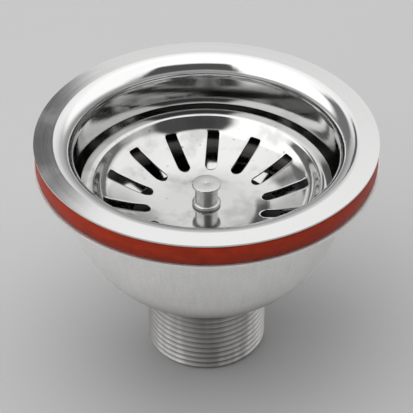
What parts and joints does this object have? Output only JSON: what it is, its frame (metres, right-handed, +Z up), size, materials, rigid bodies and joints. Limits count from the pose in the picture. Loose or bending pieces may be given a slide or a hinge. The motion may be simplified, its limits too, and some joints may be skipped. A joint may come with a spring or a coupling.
{
  "type": "sink waste coupling",
  "caption": "Sink waste coupling: a polished flange and cup over a thick red washer, a steel bowl with a threaded outlet tail, and a lift-out strainer basket with a knob.",
  "frame": {"origin": "centre of the tail's open end, on the axis", "axes": "+Z up along the axis, towards the flange; +X and +Y across the flange"},
  "size_m": [0.1158, 0.1158, 0.0867],
  "materials": {
    "polished_steel": "mirror-polished stainless steel",
    "basket_steel": "polished stainless steel, fine handling marks",
    "satin_steel": "satin stainless steel",
    "turned_steel": "turned stainless steel",
    "inner_steel": "plain mill-finish stainless steel",
    "brass": "turned brass",
    "red_rubber": "moulded red rubber, semi-matt",
    "black_rubber": "moulded black rubber",
    "fibre": "pressed fibre washer"
  },
  "bodies": {
    "waste_body": {"flange_cup": "polished_steel", "sealing_washer": "red_rubber", "lower_bowl": "satin_steel", "threaded_tail": "satin_steel", "bridge_bar": "inner_steel", "bridge_nut": "inner_steel", "clamp_screw": "brass", "screw_seal": "fibre"},
    "strainer": {"strainer_basket": "basket_steel", "lift_pin": "turned_steel", "plug_seal": "black_rubber", "stem": "turned_steel", "grip_ring": "black_rubber"}
  },
  "joints": [
    {"name": "strainer_lift", "type": "slide", "parent": "waste_body", "child": "strainer", "axis": [0, 0, 1], "range_m": [0, 0.008]}
  ]
}
